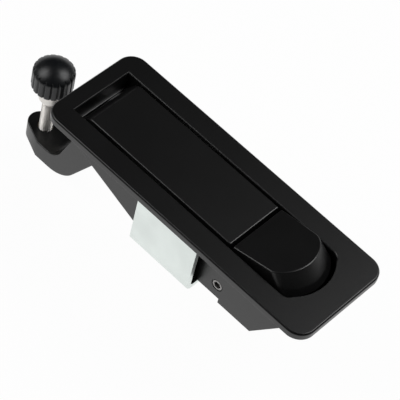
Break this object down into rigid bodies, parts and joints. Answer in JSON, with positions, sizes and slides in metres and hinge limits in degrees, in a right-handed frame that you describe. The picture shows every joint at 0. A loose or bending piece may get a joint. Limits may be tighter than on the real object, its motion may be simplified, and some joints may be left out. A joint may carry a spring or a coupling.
{
  "type": "compression latch",
  "caption": "Flush lever compression latch for a panel cut-out: D-shaped trigger, bell-crank pawl with adjustable knob, and a U-shaped clamp bracket.",
  "frame": {"origin": "centre of the flange's back face, which lies on the panel", "axes": "+X along the flange towards the trigger end, +Y across it, +Z out of the panel towards the user"},
  "size_m": [0.1697, 0.051, 0.0669],
  "materials": {
    "black_coat": "matt black powder coat on die-cast zinc",
    "zinc_plate": "clear zinc plated sheet steel",
    "steel": "plain turned steel",
    "spring_steel": "drawn wire",
    "brass": "turned brass",
    "knob_rubber": "black moulded rubber, soft sheen"
  },
  "bodies": {
    "housing": {"housing": "black_coat", "pivot_pin": "steel", "pivot_clips": "steel", "trigger_pin": "steel", "trigger_pin_clips": "steel", "clamp_insert": "brass"},
    "lever": {"lever": "black_coat", "lever_catch": "steel", "catch_rivets": "steel", "pivot_bushes": "brass", "lever_spring": "spring_steel", "pawl": "black_coat", "drive_pin": "steel", "thread_insert": "brass"},
    "adjuster_stop": {"stop_ring": "steel"},
    "adjuster": {"adjusting_screw": "steel", "bumper_knob": "knob_rubber"},
    "trigger": {"trigger": "black_coat", "trigger_spring": "spring_steel"},
    "bracket": {"mounting_bracket": "zinc_plate", "clamp_washer": "zinc_plate", "clamp_spring_washer": "zinc_plate"},
    "clamp": {"clamp_screw": "zinc_plate"}
  },
  "joints": [
    {"name": "lever_lift", "type": "hinge", "parent": "housing", "child": "lever", "pos_m": [-0.0505, 0, -0.006], "axis": [0, -1, 0], "range_deg": [0, 55]},
    {"name": "trigger_press", "type": "hinge", "parent": "housing", "child": "trigger", "pos_m": [0.024, 0, -0.0213], "axis": [0, 1, 0], "range_deg": [0, 6], "stiffness_Nm_per_rad": 0.2, "springref_deg": -17.19},
    {"name": "adjust_slide", "type": "slide", "parent": "lever", "child": "adjuster_stop", "axis": [0, 0, 1], "range_m": [-0.012, 0]},
    {"name": "knob_turn", "type": "hinge", "parent": "adjuster_stop", "child": "adjuster", "pos_m": [-0.0896, 0, -0.0165], "axis": [0, 0, 1], "range_deg": [-4320, 0]},
    {"name": "bracket_clamp", "type": "slide", "parent": "housing", "child": "bracket", "axis": [0, 0, 1], "range_m": [-0.005, 0]},
    {"name": "clamp_turn", "type": "hinge", "parent": "bracket", "child": "clamp", "pos_m": [-0.00185, 0, -0.035], "axis": [0, 0, 1], "range_deg": [-1800, 0]}
  ],
  "couplings": [
    {"joint": "knob_turn", "follows": "adjust_slide", "rad_per_m": 6283.2},
    {"joint": "clamp_turn", "follows": "bracket_clamp", "rad_per_m": 6283.2}
  ]
}
